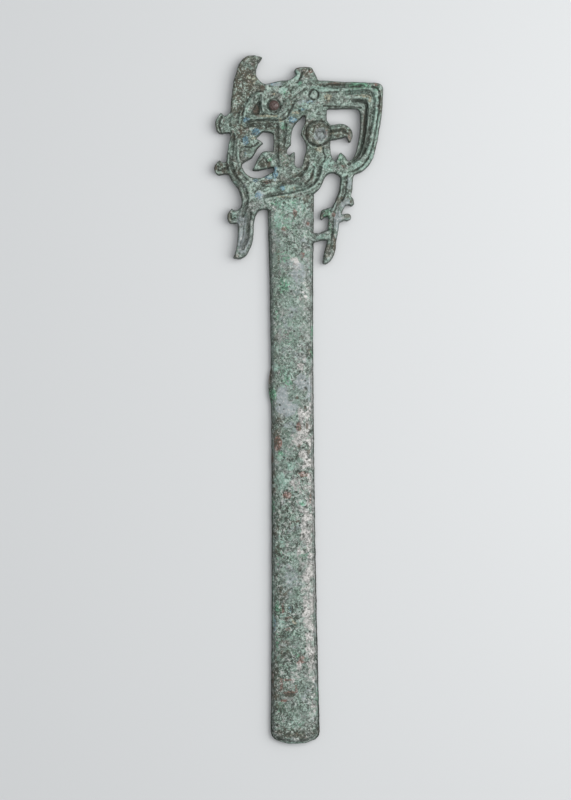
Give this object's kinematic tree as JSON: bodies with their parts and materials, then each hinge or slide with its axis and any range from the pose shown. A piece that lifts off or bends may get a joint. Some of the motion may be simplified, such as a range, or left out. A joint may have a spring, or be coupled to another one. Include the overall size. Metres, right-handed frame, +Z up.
{
  "type": "bronze axe head",
  "caption": "Long narrow cast bronze blade with an openwork head: a horned beast in profile with open jaws, barbs and a hooked loop, under green patina.",
  "frame": {"origin": "middle of the bounding box in plan, on the surface the piece lies on", "axes": "+Y along the blade towards the head, +Z up out of the carved front, +X towards the loop behind the beast's head"},
  "size_m": [0.074, 0.2998, 0.0066],
  "materials": {
    "patinated_bronze": "worn cast bronze with grey-green patina, malachite, azurite and red-brown corrosion spots"
  },
  "bodies": {
    "root": {"axe_head": "patinated_bronze"}
  },
  "joints": []
}
